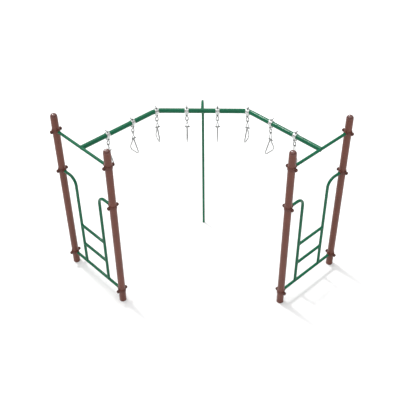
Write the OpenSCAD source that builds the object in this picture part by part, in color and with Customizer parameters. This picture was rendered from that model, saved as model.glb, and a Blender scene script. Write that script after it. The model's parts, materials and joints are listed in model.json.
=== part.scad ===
// Overhead ring ladder: two post frames, a bent overhead beam on a back pole,
// and a row of swinging triangular rings.
// Millimetres, +Z up. The origin is on the ground at the middle of the footprint's box,
// +X runs across both end frames and +Y points to the support pole behind the beam.

/* [Overhead beam] */
// Length of each of the three straight runs, between bend corners
run_l = 1133; // [900:1:1400]
// Turn of the beam in plan at each of its two bends
bend_a = 45; // [40:1:50]
// Centre-line radius of the two bends
beam_bend_r = 200; // [120:5:300]
// Outer diameter of the beam
beam_d = 60.3; // [50:0.1:73]
// Wall of the beam
beam_wall = 3.9; // [2:0.1:6]
// Height of the beam's centre line above the ground
beam_z = 2135; // [1800:5:2400]

/* [End frames] */
// Centre distance between the two posts of an end frame
post_pitch = 1006; // [850:1:1250]
// Outer diameter of the posts
post_d = 88.9; // [76:0.1:102]
// Wall of the posts
post_wall = 3.2; // [2:0.1:6]
// Length of post tube above the crossbar's centre line
post_over = 200; // [80:5:400]
// Rise of the domed cap above its post
cap_h = 36; // [15:1:40]
// Depth of the cap's spigot inside the post
spigot_l = 40; // [15:1:80]
// Outer diameter of the crossbars, rails, rungs and bottom bars
bar_d = 38.1; // [30:0.1:45]
// Wall of the crossbars, rails, rungs and bottom bars
bar_wall = 2.6; // [1.5:0.1:4]

/* [Ladders] */
// Height of the bottom bar's centre line
bottom_z = 180; // [120:5:300]
// Height of the rail arms' centre line
arm_z = 1560; // [1300:5:1800]
// Rise from the bottom bar to the first rung, and from rung to rung
rung_rise = 316; // [250:1:380]
// Number of rungs between the rails
rungs = 2; // [1:1:3]
// Centre distance between the two rails
rail_pitch = 464; // [360:1:520]
// Centre-line radius of the bend at the top of a rail
rail_bend_r = 110; // [80:5:180]

/* [Support pole] */
// Outer diameter of the pole
pole_d = 33.4; // [26:0.1:48]
// Wall of the pole
pole_wall = 3.4; // [2:0.1:5]
// Distance of the pole's axis behind the beam's axis
pole_back = 372; // [280:1:500]
// Centre-line radius of the bend at the top of the pole
pole_bend_r = 200; // [100:5:220]

/* [Post collars] */
// Height of a collar
collar_h = 42; // [30:1:60]
// Wall of a collar
collar_wall = 6; // [4:0.5:10]
// Distance from the post's axis to the tip of an ear
ear_reach = 80; // [72:1:100]
// Thickness of one ear
ear_t = 8; // [5:0.5:12]
// Gap between the two ears of a pair
ear_gap = 6; // [3:0.5:10]
// Length of the shallow cup that holds a bar
socket_l = 14; // [10:1:60]
// Wall of the cup
socket_wall = 5; // [3:0.5:8]
// Radius of a collar bolt
collar_bolt_r = 5; // [4:0.5:6]

/* [Hangers] */
// Width of a clamp casting along the beam
clamp_w = 48; // [34:1:60]
// Wall of a clamp casting around the beam
clamp_wall = 8; // [5:0.5:12]
// Gap between the two castings of a clamp
clamp_gap = 4; // [2:0.5:6]
// Height of the top bolt above the beam's axis
top_bolt_z = 48; // [46:1:60]
// Length of thread that stands past the top bolt's nut
top_bolt_tail = 22; // [5:1:30]
// Depth of the pivot bolt below the beam's axis
pivot_z = 57; // [55:1:75]
// Radius of the pivot bolt
pivot_r = 6; // [5:0.5:8]
// Length of the swing eye's barrel on the pivot bolt
barrel_l = 16.4; // [12:0.1:24]
// Radius of the swing eye's rod
eye_rod_r = 6.5; // [4.5:0.1:7]
// Outer width of the swing eye
eye_w = 46; // [42:1:56]
// Outer height of the swing eye
eye_h = 70; // [60:1:85]
// Radius of the twisted shackle's rod
shackle_rod_r = 4.5; // [3.5:0.1:5]
// Distance from the shackle's hanging axis down to its cross bolt
shackle_l = 90; // [80:1:140]
// Centre distance between the shackle's two ears
ear_pitch = 30; // [28:1:40]
// Radius of the shackle's cross bolt
pin_r = 5; // [4:0.5:6]

/* [Rings] */
// Diameter of the ring's rod
ring_rod_d = 15.9; // [12:0.1:16.5]
// Outer width of a ring
ring_w = 165; // [145:1:190]
// Distance from the cross bolt down to the bottom of the ring
ring_drop = 198; // [170:1:240]
// Centre-line radius of the ring's two lower corners
ring_corner_r = 32; // [24:1:40]

/* [Clearances] */
// Radial clearance of a clamped or sleeved fit that doesn't move
seat_fit = 0.2; // [0.1:0.05:0.4]
// Radial clearance of a running fit on a bolt
run_fit = 0.05; // [0.02:0.01:0.1]
// Side clearance between pieces that move past each other
side_fit = 0.4; // [0.3:0.1:1]
// Gap at a coped and welded joint
weld_gap = 0.2; // [0.1:0.05:0.4]
// Height of a dressed butt weld above its tube or rod
seam = 0.15; // [0.1:0.05:0.4]

/* [Hidden] */
$fn = 64;

// Half the length of a butt weld
seam_l = 0.8;
// How far a cut runs past the face that it opens
over = 1;
// Radius and height of a bolt head over its bolt's radius, and the radius of a domed head's sphere over the head's
head_width = 1.8;
head_height = 1.1;
dome_width = 1.6;
// Gap between a collar's barrel and the end of the bar in its cup
bar_end_gap = 4;
// How far the beam's coped ends wrap past the crossbars' axes
beam_lip = 6;

// Radii
beam_r = beam_d / 2;
post_r = post_d / 2;
bar_r = bar_d / 2;
pole_r = pole_d / 2;
ring_rod_r = ring_rod_d / 2;

// Plan of the beam: corner of the bend, end on the crossbar
corner_x = run_l / 2;
end_x = corner_x + run_l * cos(bend_a);
beam_y = run_l * sin(bend_a);
bend_tangent = beam_bend_r * tan(bend_a / 2);
pole_y = beam_y + pole_back;

// Collar sizes
collar_bore_r = post_r + seat_fit;
collar_r = collar_bore_r + collar_wall;
ear_out = ear_gap / 2 + ear_t;
collar_bolt_at = (collar_r + ear_reach) / 2;
collar_head_r = head_width * collar_bolt_r;
collar_head_t = head_height * collar_bolt_r;
socket_end = collar_r + socket_l;
socket_stop = collar_r + bar_end_gap;

// Footprint in depth, from the front collars' bolts to the back of the pole
collar_corner = max(ear_reach + ear_out, collar_bolt_at + collar_head_r + ear_out + collar_head_t);
front_y = -post_pitch / 2 * sin(bend_a) - collar_corner * sin(bend_a);
back_y = pole_y + pole_r;
footprint_y = (front_y + back_y) / 2;

// Heights of the three collars on every post
collar_zs = [bottom_z, arm_z, beam_z];
post_h = beam_z + post_over;

// Hanger stack, measured down from the beam's axis
clamp_bore_r = beam_r + seat_fit;
clamp_r = clamp_bore_r + clamp_wall;
lug_t = 10;
lug_in = barrel_l / 2 + side_fit;
lug_out = lug_in + lug_t;
lug_r = 19;
top_ear_t = 9;
top_ear_r = 12;
top_ear_out = clamp_gap / 2 + top_ear_t;
bolt_head_r = 9.5;
bolt_head_t = 7;
nut_t = 8;
top_bolt_r = 5;
pivot_bolt_tail = 3;
barrel_r = 13;
shank_r = 7;
shank_l = 9;
eye_major = eye_w / 2 - eye_rod_r;
eye_top = pivot_z + barrel_r + shank_l;
eye_straight = eye_h - eye_w;
eye_low = eye_top + eye_h - eye_rod_r;
bow_r = eye_rod_r + shackle_rod_r + side_fit;
pin_z = eye_low + shackle_l;
knee_drop = 14;
shackle_ear_wall = 6;
shackle_ear_r = pin_r + shackle_ear_wall;
// How much thicker the shackle's ears are than its rod
ear_over_rod = 1;
shackle_ear_t = 2 * shackle_rod_r + ear_over_rod;
ear_neck = 8;
pin_head_r = head_width * pin_r;
pin_head_t = 6;
pin_tail = 14;
ring_barrel_wall = 5;
ring_barrel_r = pin_r + run_fit + ring_barrel_wall;
root_gap = 2;
root_sink = 1;
ring_barrel_l = ear_pitch - shackle_ear_t - 2 * side_fit;
ring_low = pin_z + ring_drop - ring_rod_r;
ring_corner_y = ring_w / 2 - ring_rod_r - ring_corner_r;
ring_corner_z = ring_low - ring_corner_r;
hangers = [for (i = [0:7]) i];
// Spaces between hangers on each straight run, so that two hangers stand at the bends
spaces = 3;
// How far the middle of a bend lies inside its corner
bend_inset = beam_bend_r / cos(bend_a / 2) - beam_bend_r;
// How far a bend curves away over half a clamp's width
bend_ease = clamp_w * clamp_w / (8 * beam_bend_r);

brown = [0.44, 0.29, 0.27];
dark_brown = [0.36, 0.22, 0.20];
green = [0.16, 0.42, 0.29];
casting = [0.80, 0.82, 0.80];
steel = [0.62, 0.63, 0.63];

// Signed distance of hanger i along the beam from its middle
function hanger_s(i) = (i - 3.5) * run_l / spaces;

// Whether hanger i stands at a bend
function at_bend(i) = i == spaces - 1 || i == 2 * spaces - 1;

// Place of hanger i: x, y and the direction of the beam there
function hanger_at(i) =
  let (s = hanger_s(i), side = sign(s), past = abs(s) - corner_x)
  at_bend(i) ? [
    side * (corner_x - bend_inset * sin(bend_a / 2)),
    beam_y - bend_inset * cos(bend_a / 2),
    -side * bend_a / 2
  ] :
  past < 0 ? [s, beam_y, 0] :
  [side * (corner_x + past * cos(bend_a)), beam_y - past * sin(bend_a), -side * bend_a];

// Moves from the design's own zero, between the end frames, to the footprint's middle
module place() {
  translate([0, -footprint_y, 0]) children();
}

// End frame: local +X points from the front post to the back post
module on_frame(side) {
  place() mirror([side < 0 ? 1 : 0, 0, 0]) translate([end_x, 0, 0]) rotate([0, 0, bend_a]) children();
}

// Hanger i: local +X runs along the beam, +Y to the back, zero on the beam's axis
module on_hanger(i) {
  at = hanger_at(i);
  place() translate([at[0], at[1], beam_z]) rotate([0, 0, at[2]]) children();
}

// Cylinder along X from x0 to x1
module rod_x(r, x0, x1) {
  translate([x0, 0, 0]) rotate([0, 90, 0]) cylinder(r = r, h = x1 - x0);
}

// Cylinder along Y from y0 to y1
module rod_y(r, y0, y1) {
  translate([0, y0, 0]) rotate([-90, 0, 0]) cylinder(r = r, h = y1 - y0);
}

// Straight rod between two points
module rod_between(a, b, r) {
  d = b - a;
  l = norm(d);
  translate(a) rotate([0, acos(d[2] / l), atan2(d[1], d[0])]) cylinder(r = r, h = l);
}

// Arc of round bar in the XY plane about zero, from angle a0 over a turn of a1
module arc_bar(major, r, a0, a1) {
  rotate([0, 0, a0]) rotate_extrude(angle = a1) translate([major, 0]) circle(r = r);
}

// ---- Posts and caps ----

module post(side, end) {
  color(brown) on_frame(side) translate([end * post_pitch / 2, 0, 0]) difference() {
    cylinder(r = post_r, h = post_h);
    translate([0, 0, -over]) cylinder(r = post_r - post_wall, h = post_h + 2 * over);
  }
}

module cap(side, end) {
  dome_r = (post_r * post_r + cap_h * cap_h) / (2 * cap_h);
  color(dark_brown) on_frame(side) translate([end * post_pitch / 2, 0, post_h]) {
    intersection() {
      translate([0, 0, cap_h - dome_r]) sphere(r = dome_r);
      cylinder(r = post_r, h = cap_h + over);
    }
    translate([0, 0, -spigot_l]) cylinder(r = post_r - post_wall - seat_fit, h = spigot_l + seam_l);
  }
}

// ---- Collars ----

// Half collar on the +X side of its post, with an ear on each side
module half_collar() {
  difference() {
    union() {
      intersection() {
        cylinder(r = collar_r, h = collar_h, center = true);
        translate([ear_gap / 2, -collar_r, -collar_h / 2]) cube([collar_r, 2 * collar_r, collar_h]);
      }
      for (s = [-1, 1]) {
        translate([ear_gap / 2, s * (post_r + ear_reach) / 2 - (ear_reach - post_r) / 2, -collar_h / 2])
          cube([ear_t, ear_reach - post_r, collar_h]);
      }
    }
    cylinder(r = collar_bore_r, h = collar_h + 2 * over, center = true);
    for (s = [-1, 1]) {
      translate([0, s * collar_bolt_at, 0]) rod_x(collar_bolt_r + seat_fit, 0, ear_out + over);
    }
  }
}

// Half collar that also carries the cup of a bar
module socket_half() {
  difference() {
    union() {
      half_collar();
      rod_x(bar_r + seat_fit + socket_wall, collar_r - collar_wall / 2, socket_end);
    }
    rod_x(bar_r + seat_fit, socket_stop, socket_end + over);
  }
}

module collars(side, end) {
  color(dark_brown) on_frame(side) for (z = collar_zs) {
    translate([end * post_pitch / 2, 0, z]) rotate([0, 0, end < 0 ? 0 : 180]) {
      socket_half();
      rotate([0, 0, 180]) half_collar();
    }
  }
}

// Draws its children at every collar bolt, +X pointing from the nut to the head
module at_collar_bolts() {
  for (side = [-1, 1]) {
    on_frame(side) for (end = [-1, 1]) {
      for (z = collar_zs) {
        for (s = [-1, 1]) {
          translate([end * post_pitch / 2, s * collar_bolt_at, z]) rotate([0, 0, end < 0 ? 180 : 0]) children();
        }
      }
    }
  }
}

module collar_bolts() {
  color(dark_brown) at_collar_bolts() {
    rod_x(collar_bolt_r, -ear_out - collar_head_t - over, ear_out + over);
    intersection() {
      rod_x(collar_head_r, ear_out + seat_fit, ear_out + collar_head_t);
      translate([ear_out + collar_head_t - dome_width * collar_head_r, 0, 0])
        sphere(r = dome_width * collar_head_r);
    }
  }
}

module collar_nuts() {
  color(dark_brown) at_collar_bolts() difference() {
    translate([-ear_out - collar_head_t, 0, 0]) rotate([0, 90, 0])
      cylinder(r = collar_head_r, h = collar_head_t - seat_fit, $fn = 6);
    rod_x(collar_bolt_r + seat_fit, -ear_out - collar_head_t - over, -ear_out + over);
  }
}

// ---- Crossbars and ladders ----

module tube_x(d, wall, x0, x1) {
  difference() {
    rod_x(d / 2, x0, x1);
    rod_x(d / 2 - wall, x0 - over, x1 + over);
  }
}

module crossbar(side) {
  reach = post_pitch / 2 - socket_stop - weld_gap;
  color(green) on_frame(side) translate([0, 0, beam_z]) tube_x(bar_d, bar_wall, -reach, reach);
}

// Rail of radius r: up from the bottom bar, round the bend and out to the post, as a solid bar
module rail_bar(r, extra) {
  reach = post_pitch / 2 - socket_stop - weld_gap + extra;
  translate([rail_pitch / 2, 0, bottom_z]) cylinder(r = r, h = arm_z - rail_bend_r - bottom_z);
  translate([rail_pitch / 2 + rail_bend_r, 0, arm_z - rail_bend_r]) rotate([90, 0, 0])
    arc_bar(rail_bend_r, r, 90, 90);
  translate([0, 0, arm_z]) rod_x(r, rail_pitch / 2 + rail_bend_r, reach);
}

module rail() {
  difference() {
    rail_bar(bar_r, 0);
    rail_bar(bar_r - bar_wall, over);
    translate([0, 0, bottom_z]) rod_x(bar_r + weld_gap, 0, post_pitch);
  }
}

module rung() {
  difference() {
    tube_x(bar_d, bar_wall, -rail_pitch / 2, rail_pitch / 2);
    for (s = [-1, 1]) {
      translate([s * rail_pitch / 2, 0, 0]) cylinder(r = bar_r + weld_gap, h = 3 * bar_d, center = true);
    }
  }
}

module ladder(side) {
  reach = post_pitch / 2 - socket_stop - weld_gap;
  color(green) on_frame(side) {
    translate([0, 0, bottom_z]) tube_x(bar_d, bar_wall, -reach, reach);
    rail();
    mirror([1, 0, 0]) rail();
    for (i = [1:rungs]) {
      translate([0, 0, bottom_z + i * rung_rise]) rung();
    }
  }
}

// ---- Beam and support pole ----

// The beam's right half as a solid bar of radius r, from x0 to its end "extra" past the crossbar.
// A seam disc of radius seam_r joins each run to the bend.
module half_beam_bar(r, seam_r, x0, extra) {
  bend_x = corner_x - bend_tangent;
  translate([0, beam_y, 0]) {
    rod_x(r, x0, bend_x - weld_gap);
    rod_x(seam_r, bend_x - seam_l, bend_x + seam_l);
  }
  translate([bend_x, beam_y - beam_bend_r, 0]) arc_bar(beam_bend_r, r, 90 - bend_a, bend_a);
  translate([corner_x, beam_y, 0]) rotate([0, 0, -bend_a]) {
    rod_x(r, bend_tangent + weld_gap, run_l + extra);
    rod_x(seam_r, bend_tangent - seam_l, bend_tangent + seam_l);
  }
}

// The right half of the beam, bored through and coped to the crossbar
module half_beam() {
  bore = beam_r - beam_wall;
  difference() {
    half_beam_bar(beam_r, beam_r + seam, 0, beam_lip);
    half_beam_bar(bore, bore - seam, -over, beam_lip + over);
    translate([end_x, 0, 0]) rotate([0, 0, bend_a]) rod_x(bar_r + weld_gap, -post_pitch / 4, post_pitch / 4);
  }
}

module overhead_beam() {
  color(green) place() translate([0, 0, beam_z]) {
    half_beam();
    mirror([1, 0, 0]) half_beam();
  }
}

// The pole and its arm as a solid bar of radius r
module pole_bar(r, extra) {
  translate([0, pole_y, -extra]) cylinder(r = r, h = beam_z - pole_bend_r + extra);
  translate([0, pole_y - pole_bend_r, beam_z - pole_bend_r]) rotate([0, -90, 0]) arc_bar(pole_bend_r, r, 0, 90);
  translate([0, 0, beam_z]) rod_y(r, beam_y, pole_y - pole_bend_r);
}

module support_pole() {
  color(green) place() difference() {
    pole_bar(pole_r, 0);
    pole_bar(pole_r - pole_wall, over);
    translate([0, beam_y, beam_z]) rod_x(beam_r + weld_gap, -corner_x / 2, corner_x / 2);
  }
}

// ---- Hangers ----

// Blank of the clamp casting behind the beam, on the +Y side
module clamp_blank() {
  intersection() {
    rod_x(clamp_r, -clamp_w / 2, clamp_w / 2);
    translate([-clamp_w, clamp_gap / 2, -clamp_r]) cube([2 * clamp_w, clamp_r, 2 * clamp_r]);
  }
  translate([0, 0, top_bolt_z]) rod_y(top_ear_r, clamp_gap / 2, top_ear_out);
  translate([-top_ear_r, clamp_gap / 2, 0]) cube([2 * top_ear_r, top_ear_t, top_bolt_z]);
  translate([0, 0, -pivot_z]) rod_y(lug_r, lug_in, lug_out);
  translate([-lug_r, lug_in, -pivot_z]) cube([2 * lug_r, lug_t, pivot_z]);
}

// One casting of the clamp of hanger i, eased where it sits on a bend
module clamp_half(i, side) {
  ease = at_bend(i) ? bend_ease : 0;
  on_hanger(i) mirror([0, side < 0 ? 1 : 0, 0]) difference() {
    clamp_blank();
    rod_x(clamp_bore_r + ease, -clamp_w, clamp_w);
    translate([0, 0, top_bolt_z]) rod_y(top_bolt_r + seat_fit, 0, top_ear_out + over);
    translate([0, 0, -pivot_z]) rod_y(pivot_r + seat_fit, 0, lug_out + over);
  }
}

module clamp_fronts() {
  color(casting) for (i = hangers) {
    clamp_half(i, -1);
  }
}

module clamp_backs() {
  color(casting) for (i = hangers) {
    clamp_half(i, 1);
  }
}

// Bolt along Y with its head in front: shank from -front to back
module bolt_y(r, front, back) {
  rod_y(r, -front, back);
  rod_y(bolt_head_r, -front - bolt_head_t, -front - seat_fit);
}

module clamp_bolts() {
  color(steel) for (i = hangers) {
    on_hanger(i) translate([0, 0, top_bolt_z])
      bolt_y(top_bolt_r, top_ear_out, top_ear_out + nut_t + top_bolt_tail);
  }
}

module pivot_bolts() {
  color(steel) for (i = hangers) {
    on_hanger(i) translate([0, 0, -pivot_z]) bolt_y(pivot_r, lug_out, lug_out + nut_t + pivot_bolt_tail);
  }
}

module nut_y(r, at) {
  difference() {
    translate([0, at + seat_fit, 0]) rotate([-90, 0, 0]) cylinder(r = bolt_head_r, h = nut_t, $fn = 6);
    rod_y(r + seat_fit, at - over, at + nut_t + over);
  }
}

module clamp_nuts() {
  color(steel) for (i = hangers) {
    on_hanger(i) {
      translate([0, 0, top_bolt_z]) nut_y(top_bolt_r, top_ear_out);
      translate([0, 0, -pivot_z]) nut_y(pivot_r, lug_out);
    }
  }
}

// Swing eye: a barrel on the pivot bolt and an oval eye below it, in the plane of the beam
module swing_eye(i) {
  high = -eye_top - eye_w / 2;
  low = high - eye_straight;
  color(casting) on_hanger(i) {
    difference() {
      union() {
        translate([0, 0, -pivot_z]) rod_y(barrel_r, -barrel_l / 2, barrel_l / 2);
        translate([0, 0, -eye_top - eye_rod_r]) cylinder(r = shank_r, h = eye_top + eye_rod_r - pivot_z);
        translate([0, 0, high]) rotate([90, 0, 0]) arc_bar(eye_major, eye_rod_r, 0, 180);
        translate([0, 0, low]) rotate([90, 0, 0]) arc_bar(eye_major, eye_rod_r, 180, 180);
        for (s = [-1, 1]) {
          translate([s * eye_major, 0, low]) cylinder(r = eye_rod_r, h = eye_straight);
        }
      }
      translate([0, 0, -pivot_z]) rod_y(pivot_r + run_fit, -barrel_l, barrel_l);
    }
  }
}

// Twisted shackle: its bow crosses the eye, its ears stand across the ring
module shackle(i) {
  ear_top = shackle_ear_r + ear_neck;
  color(casting) on_hanger(i) translate([0, 0, -eye_low]) difference() {
    union() {
      rotate([0, -90, 0]) arc_bar(bow_r, shackle_rod_r, -90, 180);
      for (s = [-1, 1]) {
        knee = [0, s * bow_r, -knee_drop];
        foot = [s * ear_pitch / 2, 0, -shackle_l + ear_top];
        translate(knee) cylinder(r = shackle_rod_r, h = knee_drop);
        translate(knee) sphere(r = shackle_rod_r + seam);
        rod_between(foot, knee, shackle_rod_r);
        translate(foot) sphere(r = shackle_rod_r + seam);
        translate([foot[0], 0, -shackle_l]) cylinder(r = shackle_rod_r, h = ear_top);
        translate([foot[0], 0, -shackle_l]) rod_x(shackle_ear_r, -shackle_ear_t / 2, shackle_ear_t / 2);
      }
    }
    translate([0, 0, -shackle_l]) rod_x(pin_r + seat_fit, -ear_pitch, ear_pitch);
  }
}

// Cross bolt of a shackle, with its head to the left and its nut to the right
module cross_bolt(i) {
  out = ear_pitch / 2 + shackle_ear_t / 2 + seat_fit;
  color(steel) on_hanger(i) translate([0, 0, -pin_z]) {
    rod_x(pin_r, -out, out + pin_head_t + pin_tail);
    rod_x(pin_head_r, -out - pin_head_t, -out);
    translate([out, 0, 0]) rotate([0, 90, 0]) cylinder(r = pin_head_r, h = pin_head_t, $fn = 6);
  }
}

// The +Y half of a ring's bent rod, from the barrel down to the middle of the grip
module half_ring() {
  root_y = ring_barrel_r - ring_rod_r + root_gap;
  root = [0, root_y, -pin_z - root_y];
  reach_y = ring_corner_y - root[1];
  reach_z = ring_corner_z + root[2];
  lean = atan2(reach_y, reach_z) + asin(ring_corner_r / norm([reach_y, reach_z]));
  tangent = [0, ring_corner_y + ring_corner_r * cos(lean), -ring_corner_z + ring_corner_r * sin(lean)];
  along = [0, sin(lean), -cos(lean)];
  difference() {
    union() {
      rod_between(root, tangent - weld_gap * along, ring_rod_r);
      rod_between(tangent - seam_l * along, tangent + seam_l * along, ring_rod_r + seam);
      translate([0, ring_corner_y, -ring_corner_z]) rotate([90, 0, 90])
        arc_bar(ring_corner_r, ring_rod_r, -90, 90 + lean);
      translate([0, 0, -ring_low]) rod_y(ring_rod_r + seam, 0, ring_corner_y + seam_l);
    }
    translate([0, 0, -pin_z]) rod_x(ring_barrel_r - root_sink, -ear_pitch, ear_pitch);
  }
}

// Ring: a barrel on the cross bolt and a bent rod, apex up, in the plane across the beam
module ring(i) {
  color(steel) on_hanger(i) {
    half_ring();
    mirror([0, 1, 0]) half_ring();
    translate([0, 0, -pin_z]) difference() {
      rod_x(ring_barrel_r, -ring_barrel_l / 2, ring_barrel_l / 2);
      rod_x(pin_r + run_fit, -ear_pitch, ear_pitch);
    }
  }
}

post(-1, 1);  // post_back_left
post(-1, -1);  // post_front_left
post(1, -1);  // post_front_right
post(1, 1);  // post_back_right
cap(-1, 1);  // cap_back_left
cap(-1, -1);  // cap_front_left
cap(1, -1);  // cap_front_right
cap(1, 1);  // cap_back_right
collars(-1, 1);  // collars_back_left
collars(-1, -1);  // collars_front_left
collars(1, -1);  // collars_front_right
collars(1, 1);  // collars_back_right
collar_bolts();
collar_nuts();
crossbar(-1);  // crossbar_left
crossbar(1);  // crossbar_right
ladder(-1);  // ladder_left
ladder(1);  // ladder_right
overhead_beam();
support_pole();
clamp_fronts();
clamp_backs();
clamp_bolts();
pivot_bolts();
clamp_nuts();
for (i = hangers) {
  swing_eye(i);
  shackle(i);
  cross_bolt(i);
  ring(i);
}
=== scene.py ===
import json
import math

import bmesh
import bpy
import numpy as np
from mathutils import Matrix, Vector


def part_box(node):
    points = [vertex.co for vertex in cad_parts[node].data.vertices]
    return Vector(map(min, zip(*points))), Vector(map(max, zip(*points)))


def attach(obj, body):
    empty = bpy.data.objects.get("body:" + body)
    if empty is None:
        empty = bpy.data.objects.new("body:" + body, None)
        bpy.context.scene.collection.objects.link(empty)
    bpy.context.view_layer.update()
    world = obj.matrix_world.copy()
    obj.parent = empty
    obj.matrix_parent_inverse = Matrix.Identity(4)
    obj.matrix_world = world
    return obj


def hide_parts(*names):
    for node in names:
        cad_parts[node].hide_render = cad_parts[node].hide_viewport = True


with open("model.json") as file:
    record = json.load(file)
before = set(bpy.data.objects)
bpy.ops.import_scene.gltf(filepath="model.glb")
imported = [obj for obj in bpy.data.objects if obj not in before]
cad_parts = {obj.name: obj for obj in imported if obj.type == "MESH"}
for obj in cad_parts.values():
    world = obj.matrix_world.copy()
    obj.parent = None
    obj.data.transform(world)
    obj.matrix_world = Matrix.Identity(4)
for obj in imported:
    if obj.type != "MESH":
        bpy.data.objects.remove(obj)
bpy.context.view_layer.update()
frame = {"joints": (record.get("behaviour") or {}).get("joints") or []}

# ---- Posts ----
# Four upright steel tubes, two to an end frame. Each is cut square and deburred at the foot,
# and powder-coated brown all over. The cap closes its top.

mm = 0.001
post_wall = 3.2 * mm
post_edge = 0.6 * mm
post_sides = 96
post_brown = (0.155, 0.052, 0.036)
post_roughness = 0.34
corners = ("back_left", "front_left", "front_right", "back_right")


class Value:
    """A shader socket with arithmetic: an expression on values adds its own Math nodes."""

    def __init__(self, finish, socket):
        self.finish = finish
        self.socket = socket

    def math(self, operation, first, second):
        return self.finish.node("Math", {"operation": operation}, {0: first, 1: second})

    def __add__(self, other):
        return self.math("ADD", self, other)

    def __sub__(self, other):
        return self.math("SUBTRACT", self, other)

    def __rsub__(self, other):
        return self.math("SUBTRACT", other, self)

    def __mul__(self, other):
        return self.math("MULTIPLY", self, other)

    __radd__ = __add__
    __rmul__ = __mul__

    def clamped(self):
        return self.finish.node("Clamp", {}, {"Value": self})


class Finish:
    """A material being made. node() adds any node; shade() sets or links the surface's sockets."""

    def __init__(self, name):
        self.material = bpy.data.materials.new(name)
        self.material.use_nodes = True
        self.tree = self.material.node_tree
        self.surface = self.tree.nodes["Principled BSDF"]
        self.place = self.node("TexCoord", {}, {}, out="Object")

    def node(self, kind, settings, sockets, out=0):
        made = self.tree.nodes.new("ShaderNode" + kind)
        for key, setting in settings.items():
            setattr(made, key, setting)
        for key, value in sockets.items():
            self.feed(made.inputs[key], value)
        return Value(self, made.outputs[out])

    def feed(self, socket, value):
        if isinstance(value, Value):
            self.tree.links.new(value.socket, socket)
        else:
            socket.default_value = value

    def shade(self, sockets):
        for key, value in sockets.items():
            self.feed(self.surface.inputs[key], value)
        return self.material

    def noise(self, scale, detail=2.0):
        sockets = {"Vector": self.place, "Scale": scale, "Detail": detail}
        return self.node("TexNoise", {}, sockets)

    def step(self, value, low, high):
        """0 below low, 1 above high, and smooth between."""
        sockets = {"Value": value, "From Min": low, "From Max": high}
        return self.node("MapRange", {"interpolation_type": "SMOOTHSTEP"}, sockets)

    def blend(self, factor, first, second):
        """Colour first where factor is 0 and second where it is 1."""
        sides = [c if isinstance(c, Value) else (*c, 1.0) for c in (first, second)]
        return self.node("Mix", {"data_type": "RGBA"}, {0: factor, 6: sides[0], 7: sides[1]}, out=2)

    def bump(self, height, strength, distance):
        return self.node("Bump", {}, {"Height": height, "Strength": strength, "Distance": distance})


def shaded(colour, share):
    return tuple(share * c for c in colour)


def powder_coat(name, colour, roughness, gloss=0.0):
    """Baked powder: a fine orange-peel skin, slow drifts in its colour, and a trace of dry dust.
    gloss is the share of a clear top coat."""
    coat = Finish(name)
    drift = coat.noise(4.0, 3.0)
    fleck = coat.step(coat.noise(70.0, 5.0), 0.60, 0.78)
    peel = coat.noise(380.0, 2.0) + 0.35 * coat.noise(1100.0, 1.0)
    body = coat.blend(coat.step(drift, 0.3, 0.7), shaded(colour, 0.92), shaded(colour, 1.07))
    dusty = coat.blend(0.10 * fleck, body, (0.45, 0.43, 0.40))
    return coat.shade({
        "Base Color": dusty,
        "Roughness": roughness + 0.10 * drift + 0.12 * fleck,
        "Specular IOR Level": 0.25,
        "Coat Weight": gloss,
        "Coat Roughness": 0.10,
        "Coat IOR": 1.5,
        "Normal": coat.bump(peel, 0.30, 0.25 * mm),
    })


def arc(centre, radius, start, end, steps=6):
    """Points (u, v) on a circle about centre, from the angle start to the angle end, in degrees."""
    a = np.radians(np.linspace(start, end, steps + 1))
    return np.stack([centre[0] + radius * np.cos(a), centre[1] + radius * np.sin(a)], -1)


def turned(profile, sides):
    """Surface of revolution about Z: profile point (r, z) at turn a is (r cos a, r sin a, z)."""
    profile = np.concatenate([np.atleast_2d(p) for p in profile])
    a = np.linspace(0, 2 * np.pi, sides, endpoint=False)
    r, z = profile[:, :1], profile[:, 1:]
    return np.stack([r * np.cos(a), r * np.sin(a), z + 0 * a], -1)


def placed(grid, origin, along=(1.0, 0.0)):
    """Turns local +X to the level direction along, and moves local zero to origin."""
    x, y, z = grid[..., 0], grid[..., 1], grid[..., 2]
    return np.stack([x * along[0] - y * along[1], x * along[1] + y * along[0], z], -1) + origin


def solid(name, shells, material, body, node, sharp=38.0):
    """One piece from closed shells, welded at its seams and poles, with its faces outwards.

    A shell is a grid of points whose columns run around it. Its rows end in poles or meet each
    other, and a shell whose rows end in open outlines gets a flat face on each.
    """
    points, faces, count = [], [], 0
    for grid in shells:
        rows, sides = grid.shape[:2]
        index = count + np.arange(rows * sides).reshape(rows, sides)
        around = np.roll(index, -1, axis=1)
        quads = np.stack([index[:-1], around[:-1], around[1:], index[1:]], -1).reshape(-1, 4)
        faces += quads.tolist()
        if not np.allclose(grid[0], grid[-1]):
            ends = [row for row in (0, -1) if np.ptp(grid[row], axis=0).max() > 1e-6]
            faces += [index[row].tolist() for row in ends]
        points.append(grid.reshape(-1, 3))
        count += rows * sides
    mesh = bpy.data.meshes.new(name)
    mesh.from_pydata(np.concatenate(points).tolist(), [], faces)
    weld = bmesh.new()
    weld.from_mesh(mesh)
    bmesh.ops.remove_doubles(weld, verts=weld.verts, dist=0.002 * mm)
    bmesh.ops.recalc_face_normals(weld, faces=weld.faces)
    weld.to_mesh(mesh)
    weld.free()
    mesh.shade_smooth()
    mesh.set_sharp_from_angle(angle=math.radians(sharp))
    mesh.materials.append(material)
    piece = bpy.data.objects.new(name, mesh)
    bpy.context.scene.collection.objects.link(piece)
    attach(piece, body)
    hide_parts(node)
    return piece


def post_tube(radius, height):
    """A tube with small rounded edges at its foot. The profile runs out along the foot, up the
    outside, and down the bore."""
    bore = radius - post_wall
    profile = [
        (bore, post_edge),
        arc((bore + post_edge, post_edge), post_edge, 180, 270),
        arc((radius - post_edge, post_edge), post_edge, 270, 360),
        (radius, height),
        (bore, height),
        (bore, post_edge),
    ]
    return turned(profile, post_sides)


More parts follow.
